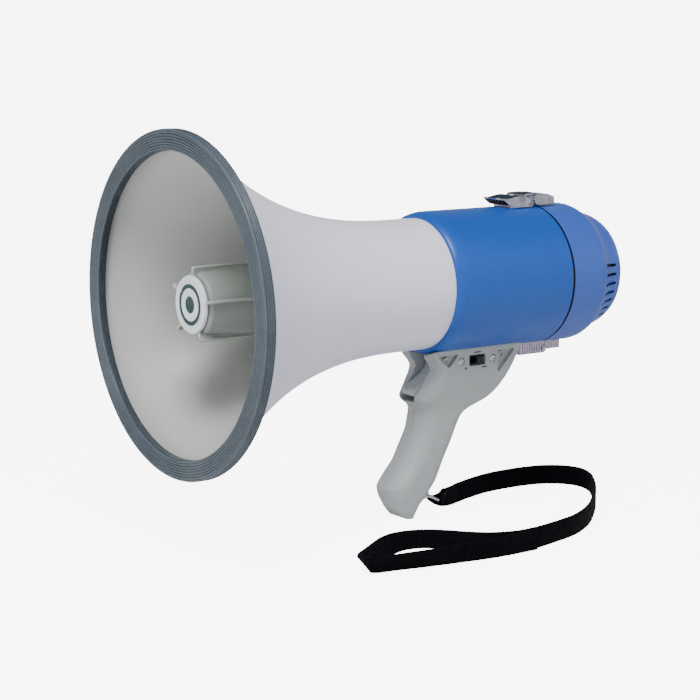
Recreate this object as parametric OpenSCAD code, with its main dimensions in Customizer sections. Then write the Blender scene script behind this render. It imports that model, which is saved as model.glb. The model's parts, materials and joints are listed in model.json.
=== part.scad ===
// Handheld reflex-horn megaphone: flared bell, driver, battery body, hinged rear cover and pistol grip.
// Millimetres, +Z up, mouth of the horn towards -Y. The origin is the middle of the grip.

/* [Horn] */
// Outer radius of the rubber rim guard around the mouth
rim_r = 115; // [112:0.5:117]
// Distance from the mouth plane to the seam of the rear cover
horn_reach = 303.4; // [300:0.2:308]
// Outer radius of the straight neck that enters the housing
neck_r = 46.6; // [46:0.1:47]
// How much the bell's radius grows from neck to mouth
flare_rise = 66.9; // [64:0.1:68]
// How sharply the flare opens near the mouth
flare_power = 2.4; // [2.2:0.05:2.6]
// Wall thickness of the bell
bell_wall = 2.4; // [2:0.1:2.6]

/* [Reflex cup] */
// Radius of the cup's closed front
cup_front_r = 21.5; // [20.5:0.5:22]
// Radius of the cup's open rear
cup_rear_r = 31; // [29:0.5:32]
// Number of fins that hold the cup in the bell
fin_count = 5; // [3:1:6]
// Thickness of each fin
fin_t = 1.8; // [1.4:0.1:2.4]
// Angle of the first fin from the +X side
fin_angle = 10; // [0:1:30]

/* [Body] */
// Outer radius of the housing and the rear cover's band
body_r = 51; // [50.6:0.1:51.4]
// Wall thickness of the housing and the cover
body_wall = 2.4; // [2.2:0.1:2.6]
// Width of the groove between housing and cover
seam_gap = 1.5; // [1.2:0.1:1.6]
// Length of the main housing in front of the seam
body_len = 104.3; // [103.5:0.1:105]

/* [Rear cover] */
// Distance from the seam to the cover's flat rear face
cover_len = 66.6; // [66.4:0.2:68]
// Number of vent slots on each side
slot_count = 7; // [4:1:8]
// Angle between two vent slots
slot_pitch = 8.85; // [8:0.05:9]
// Angle of the top vent slot above the horizontal
slot_top = 9.6; // [8:0.2:14]
// Width of a vent slot
slot_w = 2.1; // [1.6:0.1:2.4]

/* [Batteries] */
// Radius of one cell
cell_r = 13.1; // [12.8:0.1:13.1]
// Number of cells around the tray
cell_count = 6; // [4:1:6]

/* [Handle] */
// Height of the horn's axis above the middle of the grip
axis_z = 112; // [111.5:0.1:112.5]
// Distance from the middle of the grip back to the cover seam
seam_y = 92; // [91.5:0.1:92.5]
// Half width of the grip
grip_half = 16.5; // [16:0.1:17]
// Half width of the saddle under the housing
saddle_half = 21.5; // [21:0.1:22]
// Half width of the trigger
trigger_half = 7.8; // [7:0.1:8]

/* [Strap] */
// Width of the webbing
strap_w = 15; // [14:0.5:16]
// Thickness of the webbing
strap_t = 2; // [1.6:0.1:2.2]

/* [Hidden] */
$fn = 96;
fine = 0.01;

// Flare of the bell, measured as a distance in front of the seam
flare_start = 125;
flare_len = 175;
bell_end = 297.5;
neck_end = 99;
mouth_z = -horn_reach;
rim_face_in = 101;
bell_steps = 44;

// Driver stack inside the neck and housing, as distances along the axis from the seam
backplate_z = -122;
plate_z = -118;
magnet_z = -112;
yoke_z = -97;
driver_end_z = -86;
throat_front_z = -262;
throat_r = 9;

// Cup behind the badge
badge_z = -289;
badge_r = 19.2;
fin_tip_r = 25.8;
badge_t = 2.4;
cup_z = -285.6;
cup_end_z = -140;
cup_wall = 2;

// Housing and battery space
inner_r = body_r - body_wall;
tray_r = inner_r - 0.2;
cell_ring = 29;
cell_len = 47;
cell_z = -50;
sleeve_t = 1.2;
board_z = -68;

// Hinge of the cover, under the seam
hinge_y = 0.6;
hinge_z = -54.4;
hinge_r = 2.6;
hinge_half = 17;
knuckle_half = 5.4;

// Toggle latch on top of the seam: pivot of the lever and pivot of the hook
latch_y = -3.2;
lever_y = -5.7;
lever_z = 53;
hook_y = -11.5;
hook_z = 56.1;
latch_pin_r = 1.05;
latch_half = 11.8;
sheet_t = 1.2;

// Hinge of the trigger, in the part's own frame
trigger_y = 11;
trigger_z = 56.5;

// Slide switch on the +X flank of the saddle
switch_y = 27;
switch_z = 56.6;
switch_len = 14.5;
switch_h = 7.8;
screw_reach = 14.5;
switch_travel = 5;

// Strap clip on the slanted rear corner of the grip's foot
clip_tilt = 48;
clip_y = -12.5;
clip_z = -43.2;
clip_w = 14;
clip_len = 20;
ring_y = -5.4;
ring_z = -41.5;
ring_half = 8;
ring_len = 9.2;
ring_tilt = -26;
ring_wire = 0.95;
floor_z = -55;

// ---- Helpers ----

// Places a shape that is turned about the horn's axis: local +Z is the part's +Y
module on_axis() {
  translate([0, seam_y, axis_z]) rotate([-90, 0, 0]) children();
}

// Places a shape of the latch, which sits a little in front of the seam
module at_latch() {
  translate([0, seam_y + latch_y, axis_z]) children();
}

// Places a shape drawn around the point where the axis meets the seam
module at_seam() {
  translate([0, seam_y, axis_z]) children();
}

// Extrudes an outline in Y and Z along X
module slab(x0, x1) {
  translate([x0, 0, 0]) rotate([90, 0, 90]) linear_extrude(x1 - x0) children();
}

// Rod along X
module rod_x(x0, x1, y, z, r) {
  translate([x0, y, z]) rotate([0, 90, 0]) cylinder(r = r, h = x1 - x0, $fn = 48);
}

// Tube around the local Z axis
module tube(z0, z1, r_out, r_in) {
  translate([0, 0, z0]) difference() {
    cylinder(r = r_out, h = z1 - z0);
    translate([0, 0, -1]) cylinder(r = r_in, h = z1 - z0 + 2);
  }
}

// Copies a shape to both sides of the middle plane
module both_sides() {
  children();
  mirror([1, 0, 0]) children();
}

// Pan-head screw with its head's top at the local origin, looking along +Z
module pan_screw(head_r, shank_r, length) {
  difference() {
    union() {
      translate([0, 0, -1.6]) cylinder(r = head_r, h = 1.1, $fn = 40);
      translate([0, 0, -0.5]) cylinder(r1 = head_r, r2 = head_r * 0.72, h = 0.5, $fn = 40);
      translate([0, 0, -length]) cylinder(r = shank_r, h = length - 1.5, $fn = 32);
    }
    translate([-head_r * 0.62, -0.3, -0.7]) cube([head_r * 1.24, 0.6, 1]);
    translate([-0.3, -head_r * 0.62, -0.7]) cube([0.6, head_r * 1.24, 1]);
  }
}

// Value of a table at z, rounded off over the distance d
function soft(z, t, d) = (lookup(z - d, t) + 2 * lookup(z, t) + lookup(z + d, t)) / 4;

// ---- Horn ----

function flare_t(u) = max(0, (u - flare_start) / flare_len);
function bell_r(u) = neck_r + flare_rise * pow(flare_t(u), flare_power);
function bell_slope(u) = flare_rise * flare_power / flare_len * pow(flare_t(u), flare_power - 1);
function bell_u(i) = neck_end + (bell_end - neck_end) * pow(i / bell_steps, 0.8);
function bell_in(u) =
  let (s = bell_slope(u), n = sqrt(1 + s * s))
  [bell_r(u) - bell_wall / n, -u - bell_wall * s / n];

module bell_solid() {
  outer = [for (i = [0:bell_steps]) [bell_r(bell_u(i)), -bell_u(i)]];
  inner = [for (i = [bell_steps:-1:0]) bell_in(bell_u(i))];
  rotate_extrude($fn = 160) polygon(concat(outer, inner));
}

// Everything inside the bell's outer surface, as a tool for trimming the fins
module bell_outside() {
  outer = [for (i = [0:bell_steps]) bell_in(bell_u(i))];
  rotate_extrude($fn = 160) polygon(concat(outer, [[160, -bell_end - 2], [160, -neck_end]]));
}

module horn_bell() {
  color([0.76, 0.77, 0.77]) on_axis() bell_solid();
}

module rim_guard() {
  lip_z = mouth_z + 8;
  ridge_z = [mouth_z + 2.4, mouth_z + 4.2, mouth_z + 6];
  color([0.36, 0.38, 0.43]) on_axis() difference() {
    rotate_extrude($fn = 160) polygon([
      [rim_face_in, mouth_z + 6], [rim_face_in, mouth_z + 1.6], [rim_face_in + 1.6, mouth_z],
      [rim_r - 1.8, mouth_z], [rim_r, mouth_z + 1.8], [rim_r, lip_z - 1.2], [rim_r - 1.2, lip_z],
      [106, lip_z], [107, mouth_z + 6]
    ]);
    bell_solid();
    rotate_extrude($fn = 160) polygon(bell_core());
    for (r = [rim_face_in + 4.2, rim_face_in + 10])
      tube(mouth_z - 1, mouth_z + 0.7, r + 0.8, r);
    for (z = ridge_z)
      tube(z, z + 0.7, rim_r + 1, rim_r - 0.6);
  }
}

// Air space inside the bell near the mouth, which keeps the guard's hidden edge off the inner wall
function bell_core() = concat(
  [[0, -bell_end + 1.4]],
  [for (u = [bell_end - 1.4:-1.5:bell_end - 14]) [bell_in(u)[0], -u]],
  [[0, -bell_end + 14]]
);

// Radius of the cup's outside at a distance w behind its front
cup_len = cup_end_z - cup_z;
function cup_r(w) = cup_front_r + (cup_rear_r - cup_front_r) * pow(w / cup_len, 0.85);
cup_round = 3;

function cup_outline(inset) = concat(
  [[0, cup_z + inset]],
  [for (a = [0:15:90]) [cup_r(cup_round) - inset - cup_round + cup_round * sin(a),
                        cup_z + inset + cup_round - cup_round * cos(a)]],
  [for (w = [10:10:140]) [cup_r(w) - inset, cup_z + w]],
  [[cup_rear_r - inset, cup_end_z + inset], [0, cup_end_z + inset]]
);

module cup_body(inset) {
  rotate_extrude() polygon(cup_outline(inset));
}

module reflex_cup() {
  color([0.66, 0.67, 0.65]) on_axis() {
    difference() {
      union() {
        intersection() {
          cup_body(0);
          translate([0, 0, cup_z - 1]) cylinder(r = 60, h = cup_len + 1);
        }
        translate([0, 0, badge_z + badge_t]) cylinder(r = badge_r - 4, h = 2);
      }
      cup_body(cup_wall);
    }
  }
}

// One fin from the cup's front to the wall of the neck, as an outline in radius and axis
function fin_outline() = [
  [12, cup_z + 1], [badge_r + 0.8, cup_z - 2.6], [fin_tip_r - 1.4, cup_z - 3.4], [fin_tip_r - 0.2, cup_z - 2],
  [fin_tip_r, cup_z + 4], [fin_tip_r + 0.2, -240], [30, -214], [44, -196], [60, -190], [60, -132], [26, -132]
];

module cup_fins() {
  color([0.7, 0.71, 0.69]) on_axis() difference() {
    for (i = [0:fin_count - 1])
      rotate([0, 0, -fin_angle - i * 360 / fin_count])
        rotate([90, 0, 0]) translate([0, 0, -fin_t / 2]) linear_extrude(fin_t) polygon(fin_outline());
    cup_body(0);
    bell_outside();
    translate([0, 0, cup_end_z]) cylinder(r = cup_rear_r, h = 20);
    translate([0, 0, badge_z]) cylinder(r = badge_r, h = badge_t + 2);
  }
}

module centre_badge() {
  ring_r = badge_r - 3.4;
  color([0.82, 0.84, 0.84]) on_axis() difference() {
    union() {
      translate([0, 0, badge_z + 0.6]) cylinder(r = badge_r, h = badge_t - 0.6);
      translate([0, 0, badge_z]) cylinder(r1 = badge_r - 0.6, r2 = badge_r, h = 0.6);
    }
    tube(badge_z - 1, badge_z + 0.4, ring_r, ring_r - 1.2);
  }
}

module throat_tube() {
  tube_len = plate_z - throat_front_z;
  color([0.62, 0.63, 0.62]) on_axis() translate([0, 0, throat_front_z]) difference() {
    cylinder(r1 = 15, r2 = throat_r + 1.8, h = tube_len);
    translate([0, 0, -fine]) cylinder(r1 = 13.2, r2 = throat_r, h = tube_len + 2 * fine);
  }
}

module horn_backplate() {
  neck_in = neck_r - bell_wall;
  color([0.62, 0.63, 0.62]) on_axis() difference() {
    rotate_extrude() polygon([
      [0, backplate_z + 4], [neck_in, backplate_z + 4], [neck_in, backplate_z - 6],
      for (a = [10:20:90]) [neck_in - 6 * sin(a), backplate_z - 6 * cos(a)],
      [0, backplate_z]
    ]);
    translate([0, 0, throat_front_z]) cylinder(r1 = 15.03, r2 = throat_r + 1.83, h = plate_z - throat_front_z);
  }
}

// ---- Driver ----

module driver_plate() {
  color([0.55, 0.56, 0.58]) on_axis() difference() {
    tube(plate_z, magnet_z, 37, throat_r);
    translate([0, 0, magnet_z - 2.4]) cylinder(r = 19.5, h = 3);
  }
}

module diaphragm() {
  dome_r = 24;
  dome_z = magnet_z - 1.9;
  color([0.45, 0.36, 0.24]) on_axis() intersection() {
    difference() {
      translate([0, 0, dome_z + 20]) sphere(r = dome_r);
      translate([0, 0, dome_z + 20]) sphere(r = dome_r - 0.5);
    }
    translate([0, 0, magnet_z - 2.3]) cylinder(r = 16.8, h = 12);
  }
}

module voice_coil() {
  color([0.72, 0.42, 0.2]) on_axis() tube(magnet_z - 0.4, magnet_z + 6, 17.6, 16.9);
}

module driver_magnet() {
  color([0.2, 0.2, 0.21]) on_axis() tube(magnet_z, yoke_z, 33, 20.5);
}

module driver_yoke() {
  color([0.6, 0.61, 0.63]) on_axis() union() {
    translate([0, 0, yoke_z]) cylinder(r = 31, h = 6);
    translate([0, 0, magnet_z + 4]) cylinder(r = 16.2, h = yoke_z - magnet_z - 3);
  }
}

module driver_cover() {
  can_r = 38.6;
  color([0.16, 0.16, 0.17]) on_axis() difference() {
    translate([0, 0, plate_z]) cylinder(r = can_r, h = driver_end_z - plate_z);
    translate([0, 0, plate_z - 1]) cylinder(r = can_r - 1.5, h = driver_end_z - plate_z - 0.6);
  }
}

// ---- Housing ----

module main_housing() {
  bore_r = neck_r + 0.05;
  nose_r = neck_r + 0.9;
  nose_len = 11;
  nose_z = nose_len - body_len;
  color([0.2, 0.44, 0.74]) on_axis() difference() {
    rotate_extrude($fn = 144) polygon([
      [bore_r, -body_len],
      for (a = [0:10:90]) [nose_r + (body_r - nose_r) * sin(a), nose_z - nose_len * cos(a)],
      [body_r, -seam_gap / 2], [inner_r, -seam_gap / 2], [inner_r, nose_z + 1], [bore_r, nose_z - 5]
    ]);
    // passage for the leads into the handle
    translate([0, body_r, -44]) rotate([90, 0, 0]) cylinder(r = 5, h = 8, $fn = 40);
  }
}

module seam_gasket() {
  color([0.07, 0.07, 0.08]) on_axis() tube(-seam_gap / 2, 0, body_r - 1.4, body_r - 2.2);
}

module around_cells() {
  for (i = [0:cell_count - 1])
    rotate([0, 0, 30 + i * 360 / cell_count]) translate([cell_ring, 0, 0]) children();
}

module battery_tray() {
  color([0.13, 0.13, 0.14]) on_axis() {
    difference() {
      union() {
        translate([0, 0, cell_z - 4]) cylinder(r = tray_r, h = 2.5);
        translate([0, 0, cell_z - 2]) linear_extrude(cell_len) difference() {
          union() {
            circle(r = cell_ring);
            around_cells() circle(r = cell_r + sleeve_t);
          }
          circle(r = cell_ring - cell_r - 3.4);
          around_cells() circle(r = cell_r + 0.25);
        }
      }
      translate([0, 0, cell_z - 5]) cylinder(r = 8, h = 10);
    }
  }
}

module battery_cells() {
  color([0.78, 0.62, 0.2]) on_axis() around_cells()
    translate([0, 0, cell_z]) cylinder(r = cell_r, h = cell_len, $fn = 64);
}

module cell_caps() {
  color([0.8, 0.8, 0.8]) on_axis() around_cells()
    translate([0, 0, cell_z + cell_len]) cylinder(r = 3.4, h = 1.8, $fn = 40);
}

module tray_contacts() {
  color([0.78, 0.66, 0.38]) on_axis() around_cells()
    translate([0, 0, cell_z - 1.5]) cylinder(r = 7, h = 0.4, $fn = 48);
}

module contact_springs() {
  wire_r = 0.5;
  color([0.75, 0.75, 0.76]) on_axis() around_cells() translate([0, 0, cell_z - 1.1]) {
    tube(0, 0.4, 6.2, 5);
    tube(0.4, 0.8, 5.4, 4.2);
    tube(0.8, 1.1 - fine, 4.6, 3.4);
  }
}

module amp_board() {
  color([0.1, 0.38, 0.2]) on_axis() difference() {
    translate([0, 0, board_z]) cylinder(r = 46, h = 1.6);
    translate([0, 40, board_z - 1]) cylinder(r = 10, h = 4);
    for (a = [45:90:315])
      rotate([0, 0, a]) translate([41, 0, board_z - 1]) cylinder(r = 1.7, h = 4, $fn = 32);
  }
}

module board_parts() {
  front = board_z;
  color([0.12, 0.12, 0.16]) on_axis() {
    for (p = [[-18, -16], [-18, 2], [-30, -8]])
      translate([p[0], p[1], front - 12]) cylinder(r = 5, h = 12, $fn = 40);
    translate([8, -32, front - 11]) cube([22, 3, 11]);
    for (x = [8:4.5:26])
      translate([x, -29, front - 11]) cube([1.2, 7, 11]);
    translate([-10, 14, front - 4]) cube([16, 8, 4]);
  }
}

module output_transformer() {
  color([0.5, 0.34, 0.2]) on_axis() translate([8, -14, board_z - 15]) union() {
    cube([24, 20, 15]);
    translate([5, -3, 2]) cube([14, 26, 11]);
  }
}

module wiring() {
  lead_y = seam_y - 44;
  color([0.5, 0.1, 0.1]) {
    translate([-1.6, lead_y, 42]) cylinder(r = 0.9, h = 24, $fn = 24);
    translate([1.6, lead_y, 42]) cylinder(r = 0.9, h = 24, $fn = 24);
  }
}

// ---- Handle ----

// Front and rear edges of the handle at each height
front_edge = [[-55, -27], [-51, -31], [-45, -36], [-39, -39.5], [-32.6, -41], [-23.6, -34.5], [-15.6, -27.5],
              [6.4, -16], [20, -13.2], [24, -13.8], [28, -19.4], [30.5, -21], [33, -19.4], [39.5, -13.9], [46, -8.4],
              [51.5, -5.4], [55.5, -7.4], [59, -10.7], [70, -12]];
rear_edge = [[-55, -21], [-51, -19.5], [-36, -6], [-29.6, -0.6], [-15.6, 6], [-4.6, 12], [10, 19], [17, 23],
             [21, 28], [23.4, 36], [27, 45], [32, 51], [39, 55.5], [50, 62], [60, 68], [70, 71]];
half_width = [[-55, 12], [-50, 15], [-40, 16.5], [20, 16.5], [30, 17.5], [42, 20.5], [48, 21.5], [70, 21.5]];
front_corner = [[-55, 8], [-40, 12], [-20, 13.5], [34, 13.5], [46, 11], [54, 7], [60, 4]];
rear_corner = [[-55, 8], [-40, 11], [15, 12], [26, 9], [40, 5], [70, 4]];
shell_wall = 2.6;
layers = [for (z = [-55:2.5:17.5]) z, for (z = [19:1.25:34]) z, for (z = [36:3:72]) z];
arc_steps = 7;

function wide(z) = soft(z, half_width, 2) + (z < 30 ? grip_half - 16.5 : saddle_half - 21.5);
function front_y(z) = soft(z, front_edge, 1.6);
function rear_y(z) = soft(z, rear_edge, 1.6);
function depth(z) = rear_y(z) - front_y(z);
function front_r(z) = min(soft(z, front_corner, 2), depth(z) * 0.5 - 0.2);
function rear_r(z) = min(soft(z, rear_corner, 2), depth(z) * 0.5 - 0.2);

// Half of the handle's outline at one height, from the middle plane round the +X side
function ring(z, gap, inset) =
  let (w = wide(z) - inset, f = front_y(z) + inset, b = rear_y(z) - inset,
       p = max(1, front_r(z) - inset), q = max(1, rear_r(z) - inset))
  concat(
    [[gap, f, z]],
    [for (i = [0:arc_steps]) let (a = 90 * i / arc_steps) [w - p + p * sin(a), f + p - p * cos(a), z]],
    [for (i = [0:arc_steps]) let (a = 90 * i / arc_steps) [w - q + q * cos(a), b - q + q * sin(a), z]],
    [[gap, b, z]]
  );

// Solid through the rings, moved inwards by the inset; gap is where it starts beside the middle plane
module handle_block(gap, inset) {
  n = 2 * arc_steps + 4;
  rows = len(layers);
  points = [for (z = layers) each ring(z, gap, inset)];
  bottom = [for (j = [0:n - 1]) j];
  top = [for (j = [n - 1:-1:0]) (rows - 1) * n + j];
  sides = [for (i = [0:rows - 2], j = [0:n - 1], k = [0, 1])
    let (a = i * n + j, b = i * n + (j + 1) % n)
    k == 0 ? [a, a + n, b] : [b, a + n, b + n]];
  polyhedron(points = points, faces = concat([bottom], [top], sides), convexity = 6);
}

// Hollow inside both shells
module handle_hollow(half) {
  intersection() {
    slab(-half, half) polygon([[-25, -45], [-33, -33], [-26, -18], [-12, 8], [-9, 20], [-12, 26.5], [10, 44],
                               [20, 52], [20, 70], [60, 70], [58, 56], [48, 38], [30, 30], [17, 20], [5, -6],
                               [-8, -28], [-20, -44]]);
    handle_block(-1, shell_wall);
  }
}

// Slot in which the trigger swings, open to the front
module trigger_slot() {
  slab(-trigger_half - 0.5, trigger_half + 0.5)
    polygon([[-60, 28.3], [-11, 28.3], [2, 36], [26, 52], [26, 63], [-60, 63]]);
}

module housing_space() {
  on_axis() translate([0, 0, -130]) cylinder(r = body_r + 0.02, h = 150, $fn = 144);
}

// Triangular recess in the flank: two upper corners and the lower corner
module pocket(y0, y1, tip_y, tip_z) {
  slab(saddle_half - 3, saddle_half + 4)
    polygon([[y0, 62], [y1, 62], [y1, 61], [tip_y + 1.5, tip_z], [tip_y, tip_z], [y0, 61]]);
}

pocket_rows = [[-0.5, 58.8], [49.4, 58.8]];
grip_screws = [[-20, -28], [-3, 14], [36, 38]];

module handle_shell() {
  difference() {
    handle_block(0.08, 0);
    handle_hollow(grip_half - 3);
    trigger_slot();
    housing_space();
    on_foot() translate([-clip_w / 2 - 0.1, -11.1, -12.4]) cube([clip_w + 0.2, clip_len + 0.2, 12]);
    on_foot() translate([0, -5, -2]) cylinder(r = 1.5, h = 8, $fn = 32);
    rod_x(0, trigger_half + 4.4, trigger_y, trigger_z, 1.5);
  }
}

module handle_right() {
  color([0.62, 0.65, 0.66]) difference() {
    handle_shell();
    slab(saddle_half - 9, saddle_half + 3) translate([switch_y - switch_len / 2, switch_z - switch_h / 2])
      square([switch_len, switch_h]);
    pocket(-7.5, 9.4, 1, 53.5);
    pocket(46, 60.7, 46, 46);
    for (s = [-1, 1])
      rod_x(saddle_half - 4.5, saddle_half + 3, switch_y + s * screw_reach, switch_z, 2.9);
    for (s = [-1, 1])
      rod_x(saddle_half - 9, saddle_half, switch_y + s * screw_reach, switch_z, 1.3);
    for (p = pocket_rows)
      rod_x(saddle_half - 9, saddle_half, p[0], p[1], 1.3);
  }
}

module handle_left() {
  color([0.62, 0.65, 0.66]) mirror([1, 0, 0]) difference() {
    handle_shell();
    for (p = grip_screws)
      rod_x(grip_half - 1.7, saddle_half + 4, p[0], p[1], 3.2);
    for (p = grip_screws)
      rod_x(grip_half - 6, saddle_half, p[0], p[1], 1.4);
  }
}

module handle_screws() {
  color([0.7, 0.7, 0.72]) for (p = grip_screws)
    translate([-grip_half + 0.1, p[0], p[1]]) rotate([0, -90, 0]) pan_screw(3, 1.3, 5);
}

module pocket_screws() {
  color([0.8, 0.8, 0.82]) for (p = pocket_rows)
    translate([saddle_half - 1.3, p[0], p[1]]) rotate([0, 90, 0]) pan_screw(2.4, 1.25, 6);
}

module switch_screws() {
  color([0.85, 0.85, 0.87]) for (s = [-1, 1])
    translate([saddle_half + 0.3, switch_y + s * screw_reach, switch_z]) rotate([0, 90, 0]) pan_screw(2.6, 1.25, 8);
}

module slide_switch() {
  in_x = saddle_half - 5;
  color([0.07, 0.07, 0.08]) difference() {
    translate([in_x - 6, switch_y - switch_len / 2 + 0.3, switch_z - switch_h / 2 + 0.3])
      cube([9.6, switch_len - 0.6, switch_h - 0.6]);
    translate([in_x - 2, switch_y - switch_len / 2 + 1.3, switch_z - switch_h / 2 + 1.3])
      cube([10, switch_len - 2.6, switch_h - 2.6]);
  }
}

module switch_knob() {
  knob_len = 6;
  knob_h = 4.6;
  knob_y = switch_y + switch_len / 2 - 1.6 - knob_len;
  color([0.12, 0.12, 0.13]) union() {
    translate([saddle_half - 6.6, knob_y, switch_z - knob_h / 2]) cube([6.2, knob_len, knob_h]);
    for (i = [0:3])
      translate([saddle_half - 0.6, knob_y + 0.25 + i * 1.5, switch_z - knob_h / 2]) cube([1.6, 1, knob_h]);
  }
}

module trigger() {
  bore_r = 1.55;
  color([0.58, 0.61, 0.62]) difference() {
    slab(-trigger_half, trigger_half) offset(r = 1.2) offset(delta = -1.2) polygon([
      [5, 60.2], [3.6, 54], [-1, 48], [-7, 43.2], [-12.4, 40], [-16.2, 38], [-18.6, 35.6], [-18.2, 32.8], [-15.6, 31.4],
      [-11, 33.2], [-4, 38], [4, 44.5], [12, 51], [15, 55], [15, 58.4], [13, 60.2]
    ]);
    rod_x(-20, 20, trigger_y, trigger_z, bore_r);
  }
}

module trigger_pin() {
  color([0.75, 0.75, 0.76]) rod_x(-trigger_half - 4.4, trigger_half + 4.4, trigger_y, trigger_z, 1.5);
}

module trigger_spring() {
  color([0.7, 0.7, 0.72]) translate([-1.5, 0, 0]) slab(0, 3)
    polygon([[26.6, 38.6], [27.2, 38.6], [19.4, 47.4], [18.8, 47]]);
}

module micro_switch() {
  color([0.1, 0.1, 0.11]) translate([-3.2, 27.2, 36]) cube([6.4, 12, 10]);
}

// ---- Latch ----

module latch_base() {
  ear_in = 8.2;
  color([0.72, 0.73, 0.75]) at_latch() difference() {
    union() {
      translate([-9.6, -23, 46]) cube([19.2, 20.4, 5.9]);
      both_sides() slab(ear_in, 9.6) polygon([
        [lever_y - 3, 50], [lever_y - 2.4, lever_z + 1], [lever_y - 1.2, lever_z + 2.3],
        [lever_y + 1.2, lever_z + 2.3], [lever_y + 2.4, lever_z + 1], [lever_y + 3, 50]
      ]);
    }
    rotate([-90, 0, 0]) translate([0, 0, -40]) cylinder(r = body_r, h = 60, $fn = 144);
    rod_x(-20, 20, lever_y, lever_z, latch_pin_r + 0.05);
  }
}

module latch_lever() {
  out = latch_half;
  in = latch_half - sheet_t;
  tongue_half = 6.4;
  color([0.7, 0.71, 0.74]) at_latch() difference() {
    union() {
      both_sides() slab(in, out) polygon([
        [-31, 56.4], [-25.6, 52.4], [-18, 50.8], [lever_y, lever_z - 2.6],
        for (a = [-80:20:80]) [lever_y + 2.6 * cos(a), lever_z + 2.6 * sin(a)],
        [-7.6, 57.4], [-13.6, 58.4], [-20, 57.8], [-27, 56.6]
      ]);
      slab(-out, out) polygon([
        [-31, 56.2], [-31, 57.4], [-27, 57.2], [-20, 58.4], [-15, 58.9], [-15, 57.7], [-20, 57.2], [-27, 56]
      ]);
      slab(-tongue_half, tongue_half) polygon([
        [-34, 56.6], [-34.4, 57.6], [-33.2, 58], [-30, 57.3], [-30, 56.1], [-31, 56.2]
      ]);
    }
    rod_x(-20, 20, lever_y, lever_z, latch_pin_r);
    rod_x(-20, 20, hook_y, hook_z, latch_pin_r);
  }
}

module rivet(y, z, half, r) {
  rod_x(-half - fine, half + fine, y, z, r);
  both_sides() rod_x(half, half + 0.7, y, z, r + 1.2);
}

module latch_pin() {
  color([0.85, 0.85, 0.86]) at_latch() rivet(lever_y, lever_z, latch_half, latch_pin_r);
}

module hook_pin() {
  color([0.8, 0.8, 0.82]) at_latch() rod_x(-latch_half, latch_half, hook_y, hook_z, latch_pin_r);
}

module latch_hook() {
  top = 60;
  rear = 16.6;
  color([0.22, 0.23, 0.27]) at_latch() difference() {
    union() {
      slab(-10.2, 10.2) polygon([[-10.6, top - 1.5], [-10.2, top - 0.6], [-8.6, top], [1, top], [1, top - sheet_t],
                                 [-9.6, top - sheet_t], [-9.8, top - 1.7]]);
      slab(-latch_half, latch_half) polygon([[0.8, top], [10, top - 0.6], [rear, top - 3], [rear, top - 4.4],
                                 [10, top - 2], [0.8, top - 1.4]]);
      both_sides() slab(8.8, 10) polygon([[-13.4, 56.1], [-12.8, 54.4], [-11.2, 53.8], [-9.6, 54.8], [-9, 56.6],
                                 [-8.6, top - 1], [-10.2, top - 1]]);
      both_sides() slab(latch_half - sheet_t, latch_half) polygon([[-2.1, 54.4], [-0.6, 51.8], [rear, 51.9],
                                 [rear, top - 3.6], [10, top - 1.2], [0.8, top - 0.6], [-2.1, top - 1.4]]);
      slab(-6.5, 6.5) polygon([[15, 53.9], [rear, 53.9], [rear, top - 3.4], [15, top - 3]]);
    }
    rod_x(-20, 20, hook_y, hook_z, latch_pin_r + 0.05);
  }
}

module latch_keeper() {
  color([0.72, 0.73, 0.75]) at_latch() difference() {
    slab(-7, 7) polygon([[6, 46], [6, 51.6], [9, 51.9], [10.4, 53.5], [12.6, 53.5], [13, 52], [14.4, 51.4], [14.4, 46]]);
    rotate([-90, 0, 0]) translate([0, 0, -1]) cylinder(r = body_r, h = 40, $fn = 144);
  }
}

// ---- Cover hinge ----

module hinge_base() {
  color([0.78, 0.76, 0.82]) at_seam() difference() {
    union() {
      translate([-hinge_half, -22, hinge_z - hinge_r]) cube([2 * hinge_half, 19.4, 12]);
      both_sides() rod_x(knuckle_half + 0.2, hinge_half, hinge_y, hinge_z, hinge_r);
      both_sides() slab(knuckle_half + 0.2, hinge_half)
        polygon([[-3, hinge_z - hinge_r], [hinge_y, hinge_z - hinge_r], [hinge_y - 1, hinge_z + 2], [-3, hinge_z + 2]]);
    }
    rotate([-90, 0, 0]) translate([0, 0, -40]) cylinder(r = body_r, h = 60, $fn = 144);
    for (y = [-19, -14.4, -9.8])
      translate([-hinge_half - 1, y, hinge_z - hinge_r - 1]) cube([2 * hinge_half + 2, 1.4, 2]);
    translate([-knuckle_half - 0.2, hinge_y - hinge_r - 0.4, hinge_z - hinge_r - 1])
      cube([2 * knuckle_half + 0.4, 10, 12]);
    rod_x(-20, 20, hinge_y, hinge_z, 1.25);
  }
}

module hinge_pin() {
  color([0.85, 0.85, 0.87]) at_seam() rod_x(-hinge_half - 0.6, hinge_half + 0.6, hinge_y, hinge_z, 1.2);
}

module hinge_leaf() {
  color([0.78, 0.76, 0.82]) at_seam() difference() {
    union() {
      rod_x(-knuckle_half, knuckle_half, hinge_y, hinge_z, hinge_r);
      translate([-knuckle_half, hinge_y, hinge_z - 1]) cube([2 * knuckle_half, 5, 3.4]);
      translate([-15, 4, hinge_z - 0.6]) cube([30, 14, 12]);
    }
    rotate([-90, 0, 0]) translate([0, 0, -40]) cylinder(r = body_r, h = 80, $fn = 144);
    rod_x(-20, 20, hinge_y, hinge_z, 1.25);
  }
}

// ---- Rear cover ----

function cover_outline(inset) = [
  [body_r - inset, 27], [50.6 - inset, 29.5], [49.4 - inset, 32.5], [47.7 - inset, 35.5], [45.9 - inset, 38],
  [44.6 - inset, 40.5], [43.8 - inset, 43.5], [43.1 - inset, 47], [41.7 - inset, 51], [40 - inset, 54.2],
  [39.4 - inset, 55.2], [38 - inset, 56.1], [36.4 - inset, 57.8], [34.2 - inset, 60]
];

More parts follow.
